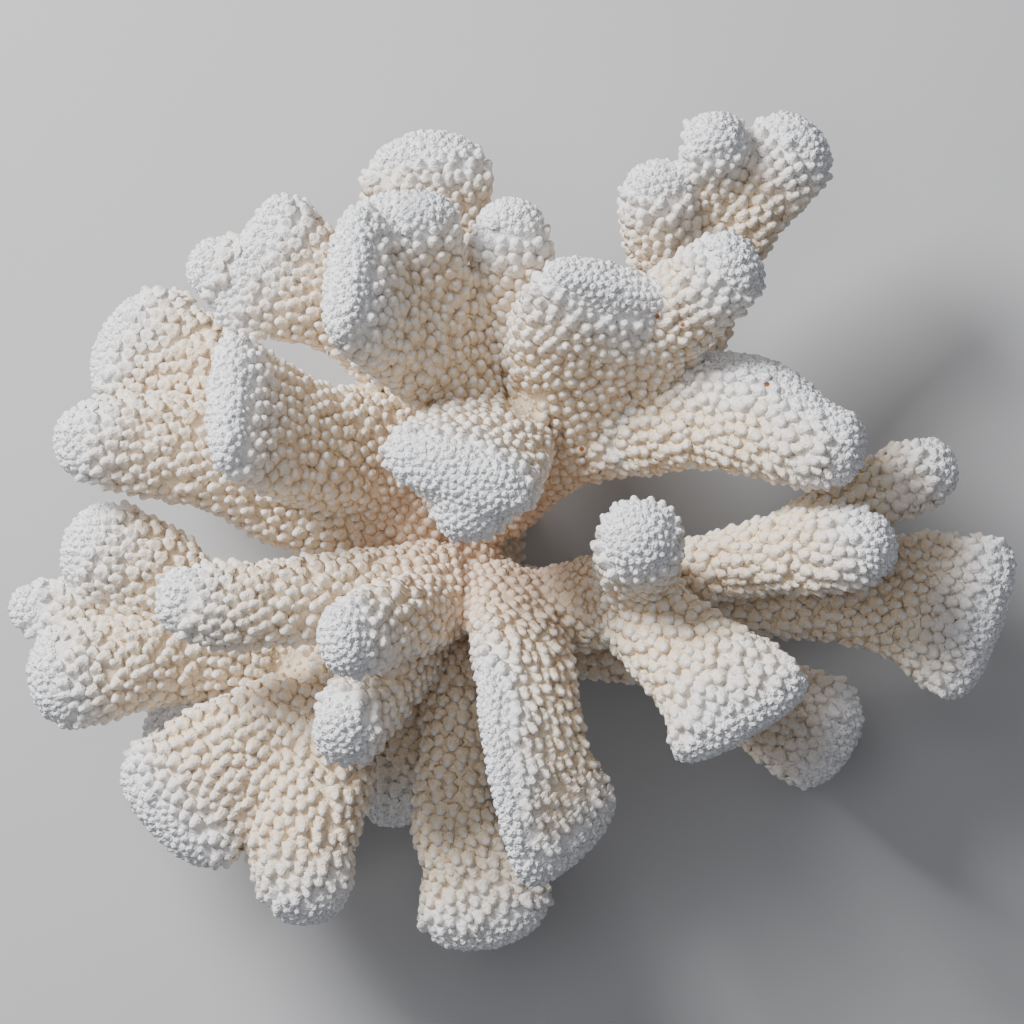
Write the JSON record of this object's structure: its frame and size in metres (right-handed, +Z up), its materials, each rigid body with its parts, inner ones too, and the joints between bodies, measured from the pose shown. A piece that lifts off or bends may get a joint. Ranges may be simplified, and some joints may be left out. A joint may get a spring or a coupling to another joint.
{
  "type": "branching coral",
  "caption": "Dry branching coral skeleton: flattened, wart-covered fingers, blades and fans spread from a short trunk that is cut off flat to stand on.",
  "frame": {"origin": "centre of the flat cut under the foot, which rests on the ground", "axes": "+Z up, away from the cut; +X along the longest spread, towards the outer east fan; +Y towards the north blade and the far fork"},
  "size_m": [0.258, 0.2147, 0.1165],
  "materials": {
    "coral": "matt bleached aragonite skeleton, white on tips and wart heads, cream between them"
  },
  "bodies": {
    "root": {"foot": "coral", "west_bough": "coral", "north_west_fan": "coral", "north_blade": "coral", "north_lobe": "coral", "crown_ridge": "coral", "north_east_plate": "coral", "north_finger": "coral", "east_finger": "coral", "far_fork": "coral", "east_bough": "coral", "east_fan": "coral", "east_arm": "coral", "outer_east_fan": "coral", "low_east_lobe": "coral", "south_finger": "coral", "south_blade": "coral", "south_west_bough": "coral", "west_finger": "coral", "inner_knob": "coral", "inner_lobe": "coral", "low_south_west_lobe": "coral", "low_south_stub": "coral", "far_west_bough": "coral"}
  },
  "joints": []
}
